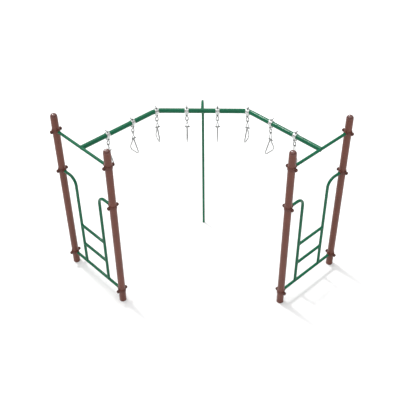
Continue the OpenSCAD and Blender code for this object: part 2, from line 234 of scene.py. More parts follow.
brown = powder_coat("brown_powder_coat", post_brown, post_roughness)
post_at = {}
for corner in corners:
    low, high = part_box("post_" + corner)
    post_at[corner] = np.array([(low.x + high.x) / 2, (low.y + high.y) / 2, 0])
    post_r, post_h = (high.x - low.x) / 2, high.z
    tube = placed(post_tube(post_r, post_h), post_at[corner])
    solid("post_tube_" + corner, [tube], brown, "root", "post_" + corner)

# ---- Caps ----
# A cast aluminium dome closes each post. Its spigot is driven into the tube, and its rim is flush
# with the post's outside. Its brown coat is glossier and darker than the tube's.

cap_lip = 2.0 * mm
cap_groove = 0.5 * mm
spigot_l = 40 * mm
spigot_gap = 0.2 * mm
spigot_chamfer = 2 * mm
cap_brown = (0.118, 0.038, 0.029)
cap_roughness = 0.16
cap_gloss = 1.0


def dome_cap(radius, rise):
    """A spherical dome over a short straight lip, a fine joint line, and the spigot below it."""
    ball = (radius**2 + (rise - cap_lip) ** 2) / (2 * (rise - cap_lip))
    edge = math.degrees(math.asin((ball - rise + cap_lip) / ball))
    spigot = radius - post_wall - spigot_gap
    profile = [
        arc((0, rise - ball), ball, 90, edge, 20),
        (radius, cap_groove),
        arc((radius - cap_groove, cap_groove), cap_groove, 0, -90, 4),
        (spigot, 0),
        (spigot, spigot_chamfer - spigot_l),
        (spigot - spigot_chamfer, -spigot_l),
        (0, -spigot_l),
    ]
    return turned(profile, post_sides)


cap_coat = powder_coat("cap_powder_coat", cap_brown, cap_roughness, cap_gloss)
for corner in corners:
    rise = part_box("cap_" + corner)[1].z - post_h
    cap = placed(dome_cap(post_r, rise), post_at[corner] + (0, 0, post_h))
    solid("dome_cap_" + corner, [cap], cap_coat, "root", "cap_" + corner)

# ---- Collars ----
# Two cast half rings clamp round the post at each bar, drawn together by a bolt through each pair
# of ears. The half that faces the other post carries a shallow cup, which traps the bar's end.

collar_h = 42 * mm
collar_bore = post_r + 0.2 * mm
collar_wall = 6 * mm
collar_r = collar_bore + collar_wall
ear_gap = 6 * mm
ear_t = 8 * mm
ear_out = ear_gap / 2 + ear_t
ear_reach = 80 * mm
ear_corner = 15 * mm
ear_chamfer = 2 * mm
ear_fillet = 5 * mm
cast_edge = 1.6 * mm
cup_r = 24.25 * mm
cup_bore = 19.25 * mm
cup_l = 14 * mm
cup_root = 3.5 * mm
cup_sunk = 4 * mm
collar_brown = (0.120, 0.038, 0.027)
collar_roughness = 0.30


def outline_normals(outline):
    """Outward unit normals of a closed outline that runs counter-clockwise."""
    along = np.roll(outline, -1, axis=0) - np.roll(outline, 1, axis=0)
    normal = np.stack([along[:, 1], -along[:, 0]], -1)
    return normal / np.maximum(np.linalg.norm(normal, axis=1, keepdims=True), 1e-12)


def slab(outline, low, high, edge, steps=4):
    """An outline carried along Z from low to high. Near each end it draws in along its normals by
    edge (1 - sin a) while it rises by edge (1 - cos a), which rounds the rim."""
    a = np.linspace(0, np.pi / 2, steps + 1)
    inset = np.concatenate([edge * (1 - np.sin(a)), edge * (1 - np.sin(a[::-1]))])
    z = np.concatenate([low + edge * (1 - np.cos(a)), high - edge * (1 - np.cos(a[::-1]))])
    flat = outline[None] - inset[:, None, None] * outline_normals(outline)[None]
    return np.concatenate([flat, np.broadcast_to(z[:, None, None], flat.shape[:2] + (1,))], -1)


def half_collar():
    """Plan of a half ring with an ear on each side: round the outside from one ear's tip to the
    other's, with a fillet at each ear's root, and back round the bore. The ears' corners are
    rounded by lowering z near their tips."""
    root = math.degrees(math.acos((ear_out + ear_fillet) / (collar_r + ear_fillet)))
    root_y = (collar_r + ear_fillet) * math.sin(math.radians(root))
    bore_end = math.degrees(math.acos(ear_gap / 2 / collar_bore))
    face = np.linspace(root_y, ear_reach, 14)
    rib = [
        arc((0, 0), collar_r, -root, root, 48),
        arc((ear_out + ear_fillet, root_y), ear_fillet, root + 180, 180, 6),
        np.stack([0 * face + ear_out, face], -1)[1:],
        [(ear_gap / 2 + ear_chamfer, ear_reach)],
        np.stack([0 * face + ear_gap / 2, face[::-1]], -1),
        arc((0, 0), collar_bore, bore_end, -bore_end, 48),
        np.stack([0 * face + ear_gap / 2, -face], -1),
        [(ear_gap / 2 + ear_chamfer, -ear_reach)],
        np.stack([0 * face + ear_out, -face[::-1]], -1)[:-1],
        arc((ear_out + ear_fillet, -root_y), ear_fillet, 180, 180 - root, 6),
    ]
    grid = slab(np.concatenate(rib), -collar_h / 2, collar_h / 2, cast_edge)
    past = np.clip(np.abs(grid[..., 1]) - (ear_reach - ear_corner), 0, ear_corner)
    drop = ear_corner - np.sqrt(ear_corner**2 - past**2)
    grid[..., 2] *= 1 - drop / (collar_h / 2)
    return grid


def bar_cup():
    """A ring about X that grows out of the collar with a cast fillet and has a rounded mouth."""
    mouth = collar_r + cup_l
    profile = [
        (cup_bore, collar_r + 1 * mm),
        (cup_bore, mouth - cast_edge),
        arc((cup_bore + cast_edge, mouth - cast_edge), cast_edge, 180, 90),
        arc((cup_r - cast_edge, mouth - cast_edge), cast_edge, 90, 0),
        arc((cup_r + cup_root, collar_r + cup_root + 1 * mm), cup_root, 180, 245),
        (cup_r + 2 * mm, collar_r - cup_sunk),
        (cup_bore, collar_r - cup_sunk),
        (cup_bore, collar_r + 1 * mm),
    ]
    return turned(profile, 64)[..., [2, 0, 1]]


def toward(a, b):
    """Level unit direction from point a to point b."""
    line = (b - a)[:2]
    return line / np.linalg.norm(line)


bar_r = 19.05 * mm
bottom_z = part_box("ladder_left")[0].z + bar_r
arm_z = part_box("ladder_left")[1].z - bar_r
crossbar_low, crossbar_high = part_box("crossbar_left")
beam_z = (crossbar_low.z + crossbar_high.z) / 2
partner = {"back_left": "front_left", "front_left": "back_left"}
partner.update({"back_right": "front_right", "front_right": "back_right"})
collar_coat = powder_coat("collar_powder_coat", collar_brown, collar_roughness)
for corner in corners:
    inward = toward(post_at[corner], post_at[partner[corner]])
    halves = [half_collar(), bar_cup(), half_collar() * (-1, -1, 1)]
    shells = [
        placed(half, post_at[corner] + (0, 0, z), inward)
        for z in (bottom_z, arm_z, beam_z)
        for half in halves
    ]
    node = "collars_" + corner
    solid("clamp_" + node, shells, collar_coat, "root", node)

# ---- Collar bolts and nuts ----
# Button-head bolts with a hexagonal key recess pass through the ears, heads outwards, and take a
# chamfered hexagon nut on the inner side. All have a brown coat, the collars' brown darkened to
# 0.4, which is partly their own darker coat and partly painted shade of the collars' ears.

collar_bolt_r = 5 * mm
collar_head_r = 9 * mm
collar_head_t = 5.5 * mm
seat_gap = 0.2 * mm
collar_bolt_at = (collar_r + ear_reach) / 2
thread_pitch = 1.5 * mm
thread_depth = 0.8 * mm
thread_end = 0.5 * mm
shank_lap = 0.5 * mm
nut_bite = 0.9 * mm
nut_chamfer = 0.8 * mm
head_edge = 0.4 * mm
hexagon_sides = 72
key_share = 0.5
chamfer_share = 0.93
bolt_roughness = 0.28
bolt_sharp = 30


def hexagon(corner_r):
    """Radius of a hexagon at each column's turn: r cos 30 / cos a, with a from the middle of the
    nearest flat."""
    a = np.linspace(0, 360, hexagon_sides, endpoint=False)
    return corner_r * math.cos(math.radians(30)) / np.cos(np.radians(a % 60 - 30))


def columns(radii, heights):
    """A grid about Z from each row's radius and height, each a number or one per column."""
    a = np.linspace(0, 2 * np.pi, hexagon_sides, endpoint=False)
    r = np.stack([radius + 0 * a for radius in radii])
    z = np.stack([height + 0 * a for height in heights])
    return np.stack([r * np.cos(a), r * np.sin(a), z], -1)


def button_head(radius, height):
    """A domed head on z = 0 with a hexagonal recess: the recess's floor and wall, the dome, and
    the seat."""
    key = hexagon(key_share * radius)
    dome = np.radians(np.linspace(75, 0, 9))
    rim = 0.35 * height
    radii = [0, key, key] + list(radius * np.cos(dome)) + [radius, radius - head_edge, 0]
    heights = [0.4 * height, 0.4 * height, 0.97 * height]
    heights += list(rim + (height - rim) * np.sin(dome)) + [head_edge, 0, 0]
    return columns(radii, heights)


def hexagon_nut(corner_r, height, bore):
    """A hexagon ring on z = 0 whose corners are cut by a 30 degree cone at both ends."""
    flat = hexagon(corner_r)
    chamfer_r = chamfer_share * corner_r
    cut = np.maximum(flat - chamfer_r, 0) * math.tan(math.radians(30))
    trim = np.minimum(flat, chamfer_r)
    mouth = bore + nut_chamfer
    radii = [bore, mouth, trim, flat, flat, trim, mouth, bore, bore]
    heights = [nut_chamfer, 0, 0, cut, height - cut, height, height]
    heights += [height - nut_chamfer, nut_chamfer]
    return columns(radii, heights)


def threaded(radius, low, high):
    """A rod from low to high whose radius falls by a triangle wave of z / pitch - turn, with turn
    in whole turns."""
    z = np.arange(low, high - thread_pitch, thread_pitch / 4)
    turn = np.linspace(0, 1, hexagon_sides, endpoint=False)
    wave = np.abs(((z[:, None] / thread_pitch - turn) % 1) * 2 - 1)
    radii = [0, radius - thread_depth] + list(radius - thread_depth * wave)
    heights = [low, low] + list(z) + [high - thread_end, high, high]
    return columns(radii + [radius - thread_depth, radius - 1.5 * thread_depth, 0], heights)


def shank(radius, low, high):
    """A plain round rod from low to high."""
    return columns([0, radius, radius, 0], [low, low, high, high])


def lifted(grid, height):
    return grid + (0, 0, height)


collar_bolt = [
    lifted(button_head(collar_head_r, collar_head_t), ear_out),
    shank(collar_bolt_r, -ear_out, ear_out + shank_lap),
    threaded(collar_bolt_r, -ear_out - collar_head_t - 1 * mm, -ear_out + shank_lap),
]
collar_nut = hexagon_nut(collar_head_r, collar_head_t - seat_gap, collar_bolt_r - nut_bite)
collar_nut = lifted(collar_nut, -ear_out - collar_head_t)
bolts, nuts = [], []
for corner in corners:
    outward = -toward(post_at[corner], post_at[partner[corner]])
    for z in (bottom_z, arm_z, beam_z):
        for side in (-1, 1):
            across = np.array([-outward[1], outward[0], 0]) * side * collar_bolt_at
            spot = post_at[corner] + across + (0, 0, z)
            bolts += [placed(part[..., [2, 0, 1]], spot, outward) for part in collar_bolt]
            nuts.append(placed(collar_nut[..., [2, 0, 1]], spot, outward))
# The collars' brown at 0.4: partly the bolts' own darker coat, partly painted shade of the ears.
bolt_coat_and_painted_shade = powder_coat("bolt_powder_coat", shaded(collar_brown, 0.4), bolt_roughness)
solid("collar_button_bolts", bolts, bolt_coat_and_painted_shade, "root", "collar_bolts", bolt_sharp)
solid("collar_hexagon_nuts", nuts, bolt_coat_and_painted_shade, "root", "collar_nuts", bolt_sharp)

# ---- Ladders ----
# A bottom bar between the posts carries two rails, which bend outwards at the top and end in the
# middle collars, and two rungs between the rails. The tube is coped and welded, then coated green.

rail_bend_r = 110 * mm
rail_half = 232 * mm
rung_rise = 316 * mm
rungs = 2
bar_end_gap = 4.2 * mm
bar_sides = 48
bead_r = 2.4 * mm
bead_ripple = 0.14
bead_pitch = 3.5 * mm
bead_sides = 10
ladder_green = (0.003, 0.118, 0.054)
green_roughness = 0.14


def tube(path, across, radius, sides, cut=(0, 0), closed=False):
    """A round bar along a path. Its section at a point is r cos a along n and r sin a along b,
    where b is the direction across with its share along the path taken out, and n is square to
    both. Each end moves along the path by its cut, a number or one per side, and closes in a
    pole."""
    path = np.asarray(path, float)
    ahead = np.roll(path, -1, axis=0) - np.roll(path, 1, axis=0)
    if not closed:
        ahead[0] = path[1] - path[0]
        ahead[-1] = path[-1] - path[-2]
    ahead /= np.linalg.norm(ahead, axis=1, keepdims=True)
    b = across - ahead * (ahead @ across)[:, None]
    b /= np.linalg.norm(b, axis=1, keepdims=True)
    n = np.cross(b, ahead)
    a = np.linspace(0, 2 * np.pi, sides, endpoint=False)[:, None]
    r = np.broadcast_to(radius, len(path))[:, None, None]
    grid = path[:, None] + r * (np.cos(a) * n[:, None] + np.sin(a) * b[:, None])
    if closed:
        return np.concatenate([grid, grid[:1]])
    grid[0] += np.broadcast_to(cut[0], sides)[:, None] * ahead[0]
    grid[-1] += np.broadcast_to(cut[1], sides)[:, None] * ahead[-1]
    poles = [np.broadcast_to(row.mean(axis=0), row.shape)[None] for row in (grid[0], grid[-1])]
    return np.concatenate([poles[0], grid, poles[1]])


def bead(path, across, closed=True, size=bead_r):
    """A weld bead: a thin bar along a path whose radius ripples as the weaving torch left it."""
    steps = np.linalg.norm(np.diff(path, axis=0), axis=1)
    run = np.concatenate([[0], np.cumsum(steps)])
    ripples = max(round(run[-1] / bead_pitch), 6)
    radius = size * (1 + bead_ripple * np.sin(2 * np.pi * ripples * run / (run[-1] + steps[-1])))
    return tube(path, np.array(across, float), radius, bead_sides, closed=closed)


def branch_bead(branch_r, main_r, axes):
    """Bead where a branch tube meets a main one. With X along the branch and Z along the main, the
    joint is x = sqrt(R^2 - y^2), y = r cos t, z = r sin t. axes puts X, Y and Z in their places."""
    t = np.linspace(0, 2 * np.pi, 96, endpoint=False)
    y = branch_r * np.cos(t)
    joint = np.stack([np.sqrt(np.maximum(main_r**2 - y**2, 0)), y, branch_r * np.sin(t)], -1)
    return bead(joint @ axes, axes[0])


def rail(side, reach):
    """One rail of a ladder: up from the bottom bar, a quarter bend outwards, and on to the
    collar."""
    turn = np.radians(np.linspace(180, 90, 17))[:, None]
    centre = np.array([rail_half + rail_bend_r, 0, arm_z - rail_bend_r])
    bend = centre + rail_bend_r * (np.cos(turn) * (1, 0, 0) + np.sin(turn) * (0, 0, 1))
    path = np.concatenate([[(rail_half, 0, bottom_z)], bend, [(reach, 0, arm_z)]])
    return tube(path * (side, 1, 1), np.array([0, 1.0, 0]), bar_r, bar_sides)


def ladder(reach):
    """The bottom bar, both rails, the rungs, and a bead at each joint, in the end frame's plane."""
    along_x = np.array([(1, 0, 0), (0, 1, 0), (0, 0, 1.0)])
    along_z = np.array([(0, 0, 1.0), (0, 1, 0), (1, 0, 0)])
    level = np.array([0, 1.0, 0])
    parts = [tube([(-reach, 0, bottom_z), (reach, 0, bottom_z)], level, bar_r, bar_sides)]
    for side in (-1, 1):
        foot = np.array([side * rail_half, 0, bottom_z])
        parts += [rail(side, reach), foot + branch_bead(bar_r, bar_r, along_z)]
    for rung in range(1, rungs + 1):
        z = bottom_z + rung * rung_rise
        parts.append(tube([(-rail_half, 0, z), (rail_half, 0, z)], level, bar_r, bar_sides))
        for side in (-1, 1):
            joint = branch_bead(bar_r, bar_r, along_x) * (-side, 1, 1)
            parts.append(joint + (side * rail_half, 0, z))
    return parts


green = powder_coat("green_powder_coat", ladder_green, green_roughness)
post_span = np.linalg.norm(post_at["back_left"] - post_at["front_left"])
reach = post_span / 2 - collar_r - bar_end_gap
frame_at, frame_along = {}, {}
for side in ("left", "right"):
    front, back = post_at["front_" + side], post_at["back_" + side]
    frame_at[side] = (front + back) / 2
    frame_along[side] = toward(front, back)
    shells = [placed(part, frame_at[side], frame_along[side]) for part in ladder(reach)]
    solid("welded_ladder_" + side, shells, green, "root", "ladder_" + side)

# ---- Crossbars ----
# A plain round bar runs between the top collars of each end frame and carries one end of the
# overhead beam. It is the ladder's tube with the same green coat.

for side in ("left", "right"):
    level = np.array([0, 1.0, 0])
    bar = tube([(-reach, 0, beam_z), (reach, 0, beam_z)], level, bar_r, bar_sides)
    bar = placed(bar, frame_at[side], frame_along[side])
    solid("top_crossbar_" + side, [bar], green, "root", "crossbar_" + side)

# ---- Overhead beam ----
# One thicker tube bent twice in plan, with a straight run between the bends. Each end is coped over
# its crossbar, so that a lip of the tube passes above and below it, and welded along both sides.

beam_r = 30.15 * mm
beam_wall = 3.9 * mm
beam_bend = 45.0
beam_bend_r = 200 * mm
beam_lip = 6 * mm
beam_sides = 80


def beam_path():
    """The beam's axis: from the left crossbar, round two bends in plan, to the right one."""
    end = frame_at["right"]
    beam_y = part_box("overhead_beam")[1].y - beam_r
    corner_x = abs(end[0]) - (beam_y - end[1]) / math.tan(math.radians(beam_bend))
    start_x = corner_x - beam_bend_r * math.tan(math.radians(beam_bend / 2))
    turn = np.radians(np.linspace(90, 90 - beam_bend, 25))
    bend_x = start_x + beam_bend_r * np.cos(turn)
    bend_y = beam_y - beam_bend_r + beam_bend_r * np.sin(turn)
    right = np.stack([np.append(bend_x, end[0]), np.append(bend_y, end[1])], -1)
    plan = np.concatenate([right[::-1] * (-1, 1), right])
    return np.column_stack([plan, np.full(len(plan), beam_z)])


def coped_end(radius):
    """How far each side of the beam's end reaches along its axis: back to the crossbar's surface,
    sqrt(R^2 - z^2), where the side faces the bar, and on to the lip above and below it."""
    z = radius * np.sin(np.linspace(0, 2 * np.pi, beam_sides, endpoint=False))
    back = -np.sqrt(np.maximum(bar_r**2 - z**2, 0))
    return np.where(np.abs(z) < bar_r, back, beam_lip)


def beam_tube():
    """The outside and the bore as two coaxial bars, joined at the coped ends into one wall."""
    up = np.array([0, 0, 1.0])
    path = beam_path()
    bore = beam_r - beam_wall
    outside, inside = [
        tube(path, up, r, beam_sides, cut=(-coped_end(r), coped_end(r)))[1:-1]
        for r in (beam_r, bore)
    ]
    return np.concatenate([outside, inside[::-1], outside[:1]])


def cope_bead(side):
    """Bead along one side of the cope, with y = side sqrt(r^2 - z^2) and x = -sqrt(R^2 - z^2)."""
    z = np.linspace(-0.985, 0.985, 40) * bar_r
    joint = np.stack([-np.sqrt(bar_r**2 - z**2), side * np.sqrt(beam_r**2 - z**2), z], -1)
    return bead(joint, (0, side, 0), closed=False)


shells = [beam_tube()]
for side, lean in (("left", -1), ("right", 1)):
    run = np.array([lean, -1]) / math.sqrt(2)
    where = frame_at[side] + (0, 0, beam_z)
    shells += [placed(cope_bead(face), where, run) for face in (-1, 1)]
solid("bent_overhead_beam", shells, green, "root", "overhead_beam")

# ---- Support pole ----
# A thinner tube stands behind the middle of the beam. Its top bends forwards through a quarter
# turn, and its end is coped and welded to the beam's back. It is powder-coated green.

pole_r = 16.7 * mm
pole_bend_r = 200 * mm
pole_wall = 3.4 * mm
pole_bore_depth = 300 * mm
pole_sides = 48


def pole_tube():
    """Up from the ground, round a quarter bend, and forwards to the beam's surface. The end's sides
    stop at sqrt(R^2 - z^2) from the beam's axis. The foot is open, with the bore inside it."""
    low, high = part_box("support_pole")
    centre_y = high.y - pole_r - pole_bend_r
    beam_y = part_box("overhead_beam")[1].y - beam_r
    turn = np.radians(np.linspace(0, 90, 21))
    bend = np.stack([0 * turn, centre_y + pole_bend_r * np.cos(turn),
                     beam_z - pole_bend_r + pole_bend_r * np.sin(turn)], -1)
    path = np.concatenate([[(0, centre_y + pole_bend_r, low.z)], bend, [(0, beam_y, beam_z)]])
    side = np.array([1.0, 0, 0])
    height = pole_r * np.cos(np.linspace(0, 2 * np.pi, pole_sides, endpoint=False))
    outside = tube(path, side, pole_r, pole_sides, cut=(0, -np.sqrt(beam_r**2 - height**2)))[1:]
    foot = tube(path, side, pole_r - pole_wall, pole_sides)[1:2]
    joint = branch_bead(pole_r, beam_r, np.array([(0, 1.0, 0), (0, 0, 1), (1, 0, 0)]))
    bored = np.concatenate([foot + (0, 0, pole_bore_depth), foot, outside])
    return [bored, joint + (0, beam_y, beam_z)]


solid("bent_support_pole", pole_tube(), green, "root", "support_pole")

# ---- Clamp castings ----
# Each hanger hangs from the beam in two galvanised iron castings, one in front and one behind. A
# casting is a half band with an ear above for the top bolt and a lug below for the pivot bolt.

hangers = range(1, 9)
pivot_z = 57 * mm
clamp_w = 48 * mm
clamp_bore = beam_r + 0.2 * mm
clamp_r = clamp_bore + 8 * mm
clamp_gap = 4 * mm
top_bolt_z = 48 * mm
top_ear_r = 12 * mm
top_ear_out = clamp_gap / 2 + 9 * mm
lug_in = 8.6 * mm
lug_out = lug_in + 10 * mm
lug_r = 19 * mm
tongue_root = 31 * mm
flare = 4 * mm
iron_edge = 2 * mm
band_crown = 0.9 * mm
band_relief = 0.6 * mm


def galvanised(name, dull, bright, roughness, grain):
    """Hot-dip zinc: crystals of different greys, a matt bloom in patches, and a fine grain."""
    zinc = Finish(name)
    cells = {"Vector": zinc.place, "Scale": 130.0, "Randomness": 1.0}
    spangle = zinc.node("TexVoronoi", {"distance": "EUCLIDEAN"}, cells, out="Color")
    crystal = zinc.node("SeparateColor", {}, {"Color": spangle})
    bloom = zinc.step(zinc.noise(28.0, 4.0), 0.38, 0.66)
    tone = (0.55 * bloom + 0.45 * crystal).clamped()
    rough = zinc.noise(grain, 3.0)
    stain = zinc.step(zinc.noise(55.0, 5.0), 0.60, 0.80)
    colour = zinc.blend(0.22 * stain, zinc.blend(tone, dull, bright), shaded(dull, 0.45))
    return zinc.shade({
        "Base Color": colour,
        "Metallic": 0.80,
        "Roughness": roughness + 0.14 * bloom + 0.10 * stain,
        "Normal": zinc.bump(rough, 0.40, 0.30 * mm),
    })


def hanger_place(hanger):
    """Where a hanger's zero is, on the beam's axis, and the beam's direction there."""
    joint = next(j for j in frame["joints"] if j["name"] == f"swing_eye_{hanger}_pivot")
    x, y, z = joint["pos_m"]
    return np.array([x, y, z + pivot_z]), (joint["axis"][1], -joint["axis"][0])


def half_band():
    """The section carried round the back of the beam: a rounded rectangle, crowned outside, whose
    point (x, p) at turn a goes to (x, p cos a, p sin a)."""
    w = clamp_w / 2 - iron_edge
    x = np.linspace(-w, w, 13)
    crown = clamp_r - band_crown * (x / w) ** 2
    corner = crown[0] - iron_edge
    section = np.concatenate([
        np.stack([x, crown], -1)[::-1],
        arc((-w, corner), iron_edge, 90, 180, 4)[1:],
        arc((-w, clamp_bore + band_relief), iron_edge, 180, 251, 4),
        [(0, clamp_bore)],
        arc((w, clamp_bore + band_relief), iron_edge, 289, 360, 4),
        arc((w, corner), iron_edge, 0, 90, 4)[:-1],
    ])
    section[:, 1] = np.maximum(section[:, 1], clamp_bore)
    half = math.acos(clamp_gap / 2 / clamp_bore)
    turn = np.linspace(-half, half, 49)[:, None]
    across, out = section[:, 0], section[:, 1]
    return np.stack([across + 0 * turn, out * np.cos(turn), out * np.sin(turn)], -1)


def tongue(radius, tip, root, near, far):
    """A flat tongue in the XZ plane, from near to far in Y. It has a round end about tip, and its
    sides flare like a cast fillet at the root, by flare (1 - u)^3 with u from root to tip."""
    way = 1 if tip > root else -1
    u = np.linspace(0, 1, 12)
    side = np.stack([radius + flare * (1 - u) ** 3, root + (tip - root) * u], -1)
    end = arc((0, tip), radius, 0, 180, 20) if way > 0 else arc((0, tip), radius, 0, -180, 20)
    outline = np.concatenate([side, end[1:-1], (side * (-1, 1))[::-1]])
    grid = slab(outline[::way], near, far, iron_edge)
    return grid[..., [0, 2, 1]]


casting = galvanised("galvanised_casting", (0.42, 0.44, 0.43), (0.80, 0.82, 0.80), 0.34, 420.0)
back_casting = [
    half_band(),
    tongue(top_ear_r, top_bolt_z, tongue_root, clamp_gap / 2, top_ear_out),
    tongue(lug_r, -pivot_z, -tongue_root, lug_in, lug_out),
]
for face, side in (("back", 1), ("front", -1)):
    shells = [
        placed(part * (1, side, 1), *hanger_place(hanger))
        for hanger in hangers
        for part in back_casting
    ]
    node = f"clamp_{face}s"
    solid(f"{face}_clamp_castings", shells, casting, "root", node)

# ---- Clamp bolts, pivot bolts and nuts ----
# A long button-head bolt draws the ears of each clamp together, with its spare thread standing out
# behind. A thicker one through the lugs is the pivot of the swing eye. Both are zinc-plated steel.

bolt_head_r = 9.5 * mm
bolt_head_t = 7 * mm
nut_t = 8 * mm
top_bolt_r = 5 * mm
top_bolt_tail = 22 * mm
pivot_bolt_r = 6 * mm
pivot_bolt_tail = 3 * mm


def plated(name, dark, light, roughness):
    """Zinc-plated steel: a cool grey that drifts a little, with turning marks and dull spots."""
    plate = Finish(name)
    drift = plate.step(plate.noise(60.0, 4.0), 0.3, 0.7)
    marks = plate.noise(900.0, 2.0)
    spots = plate.step(plate.noise(160.0, 3.0), 0.62, 0.74)
    colour = plate.blend(0.35 * spots, plate.blend(drift, dark, light), shaded(dark, 0.5))
    return plate.shade({
        "Base Color": colour,
        "Metallic": 0.9,
        "Roughness": roughness + 0.12 * drift + 0.15 * spots,
        "Normal": plate.bump(marks, 0.25, 0.12 * mm),
    })


def bolt_and_nut(radius, out, tail):
    """A bolt along Y through two castings: head in front of -out, nut and thread behind out."""
    head = button_head(bolt_head_r, bolt_head_t) * (1, 1, -1)
    bolt = [
        lifted(head, -out),
        shank(radius, -out - shank_lap, out),
        threaded(radius, out - shank_lap, out + nut_t + tail),
    ]
    nut = lifted(hexagon_nut(bolt_head_r, nut_t, radius - nut_bite), out + seat_gap)
    return [part[..., [1, 2, 0]] for part in bolt], nut[..., [1, 2, 0]]


steel = plated("zinc_plated_steel", (0.09, 0.09, 0.095), (0.22, 0.22, 0.225), 0.28)
top_bolt, top_nut = bolt_and_nut(top_bolt_r, top_ear_out, top_bolt_tail)
pivot_bolt, pivot_nut = bolt_and_nut(pivot_bolt_r, lug_out, pivot_bolt_tail)
fixings = {
    "clamp_bolts": [lifted(part, top_bolt_z) for part in top_bolt],
    "pivot_bolts": [lifted(part, -pivot_z) for part in pivot_bolt],
    "clamp_nuts": [lifted(top_nut, top_bolt_z), lifted(pivot_nut, -pivot_z)],
}
for node, parts in fixings.items():
    shells = [placed(part, *hanger_place(hanger)) for hanger in hangers for part in parts]
    solid("plated_" + node, shells, steel, "root", node, bolt_sharp)

# ---- Swing eyes ----
# A galvanised forging swings along the beam on each pivot bolt: a bored barrel between the lugs,
# a short neck, and an oval eye in the plane of the beam that the shackle hangs in.

barrel_r = 13 * mm
barrel_l = 16.4 * mm
barrel_edge = 1.4 * mm
pivot_bore = 6.05 * mm
neck_r = 7 * mm
neck_flare = 2.5 * mm
neck_sunk = 2 * mm
eye_rod_r = 6.5 * mm
eye_top = 79 * mm
eye_w = 46 * mm
eye_h = 70 * mm


def sleeve(radius, length, bore, edge, sides=56):
    """A bored barrel about Z, centred on zero, with rounded rims and a chamfered bore."""
    half = length / 2
    profile = [
        (bore, edge - half),
        (bore + edge, -half),
        arc((radius - edge, edge - half), edge, 270, 360, 5),
        arc((radius - edge, half - edge), edge, 0, 90, 5),
        (bore + edge, half),
        (bore, half - edge),
        (bore, edge - half),
    ]
    return turned(profile, sides)


def eye_path():
    """An oval in the XZ plane: two straight sides joined by half circles above and below."""
    major = eye_w / 2 - eye_rod_r
    high = -eye_top - eye_w / 2
    low = high - (eye_h - eye_w)
    plan = np.concatenate([arc((0, high), major, 0, 180, 20), arc((0, low), major, 180, 360, 20)])
    return np.stack([plan[:, 0], 0 * plan[:, 0], plan[:, 1]], -1)


def swing_eye():
    """The barrel, the eye, and a neck whose radius r + f (2u - 1)^4 flares at both its ends."""
    u = np.linspace(0, 1, 17)
    low, high = -eye_top - eye_rod_r, -pivot_z - pivot_bore - neck_sunk
    neck = np.stack([neck_r + neck_flare * (2 * u - 1) ** 4, low + (high - low) * u], -1)
    barrel = sleeve(barrel_r, barrel_l, pivot_bore, barrel_edge)[..., [1, 2, 0]]
    return [
        lifted(barrel, -pivot_z),
        turned([(0, low), neck, (0, high)], 40),
        tube(eye_path(), np.array([0, 1.0, 0]), eye_rod_r, 28, closed=True),
    ]


forging = galvanised("galvanised_forging", (0.20, 0.21, 0.205), (0.48, 0.49, 0.485), 0.30, 420.0)
for hanger in hangers:
    body = node = f"swing_eye_{hanger}"
    shells = [placed(part, *hanger_place(hanger)) for part in swing_eye()]
    solid(f"forged_eye_{hanger}", shells, forging, body, node)

# ---- Shackles ----
# A bent and twisted galvanised shackle hangs in each eye. Its bow crosses the eye, its legs turn a
# quarter as they come down, and its two flat ears stand across the ring and hold the cross bolt.

shackle_rod_r = 4.5 * mm
shackle_l = 90 * mm
ear_pitch = 30 * mm
shackle_ear_r = 11 * mm
shackle_ear_t = 10 * mm
shackle_ear_edge = 1.2 * mm
shackle_swell = 0.4 * mm
swell_rise = 30 * mm
swell_run = 26 * mm
leg_clear = 6 * mm
bow_leg = 8 * mm
rod_end_rise = 7 * mm
bow_gap = 0.4 * mm
bow_r = eye_rod_r + shackle_rod_r + bow_gap
eye_low = eye_top + eye_h - eye_rod_r
cross_bolt_r = 5 * mm


def twisted_shackle():
    """The rod and its two ears, with the rod's axis zero at the bow's centre. On a leg at share u
    of its height, with the smooth step s = u^2 (3 - 2u), x is half the pitch times 1 - s and y is
    the bow's radius times s. The rod swells a little towards the ears."""
    u = np.linspace(0, 1, 25)
    s = u**2 * (3 - 2 * u)
    foot = shackle_ear_r + leg_clear - shackle_l
    z = foot + (-bow_leg - foot) * u
    leg = np.stack([-ear_pitch / 2 * (1 - s), -bow_r * s, z], -1)
    leg = np.concatenate([[(-ear_pitch / 2, 0, -shackle_l + rod_end_rise)], leg])
    bow = arc((0, 0), bow_r, 180, 0, 20)
    bow = np.stack([0 * bow[:, 0], bow[:, 0], bow[:, 1]], -1)
    path = np.concatenate([leg, bow, (leg * (-1, -1, 1))[::-1]])
    swell = np.clip((-path[:, 2] - shackle_l + swell_rise) / swell_run, 0, 1)
    rod = tube(path, np.array([1.0, 0, 0]), shackle_rod_r + shackle_swell * swell**2, 24)
    ear = sleeve(shackle_ear_r, shackle_ear_t, cross_bolt_r + seat_gap, shackle_ear_edge)
    ear = ear[..., [2, 0, 1]]
    ears = [ear + (side * ear_pitch / 2, 0, -shackle_l) for side in (-1, 1)]
    return [lifted(part, -eye_low) for part in [rod] + ears]


for hanger in hangers:
    body = node = f"shackle_{hanger}"
    shells = [placed(part, *hanger_place(hanger)) for part in twisted_shackle()]
    solid(f"twisted_shackle_{hanger}", shells, forging, body, node)

# ---- Cross bolts ----
# A zinc-plated bolt joins the two ears of each shackle and is the pin that the ring swings on. Its
# button head is on the left of the hanger, and its hexagon nut, with a little thread, on the right.

pin_z = eye_low + shackle_l
pin_head_r = 9 * mm
pin_head_t = 6 * mm
pin_tail = 14 * mm


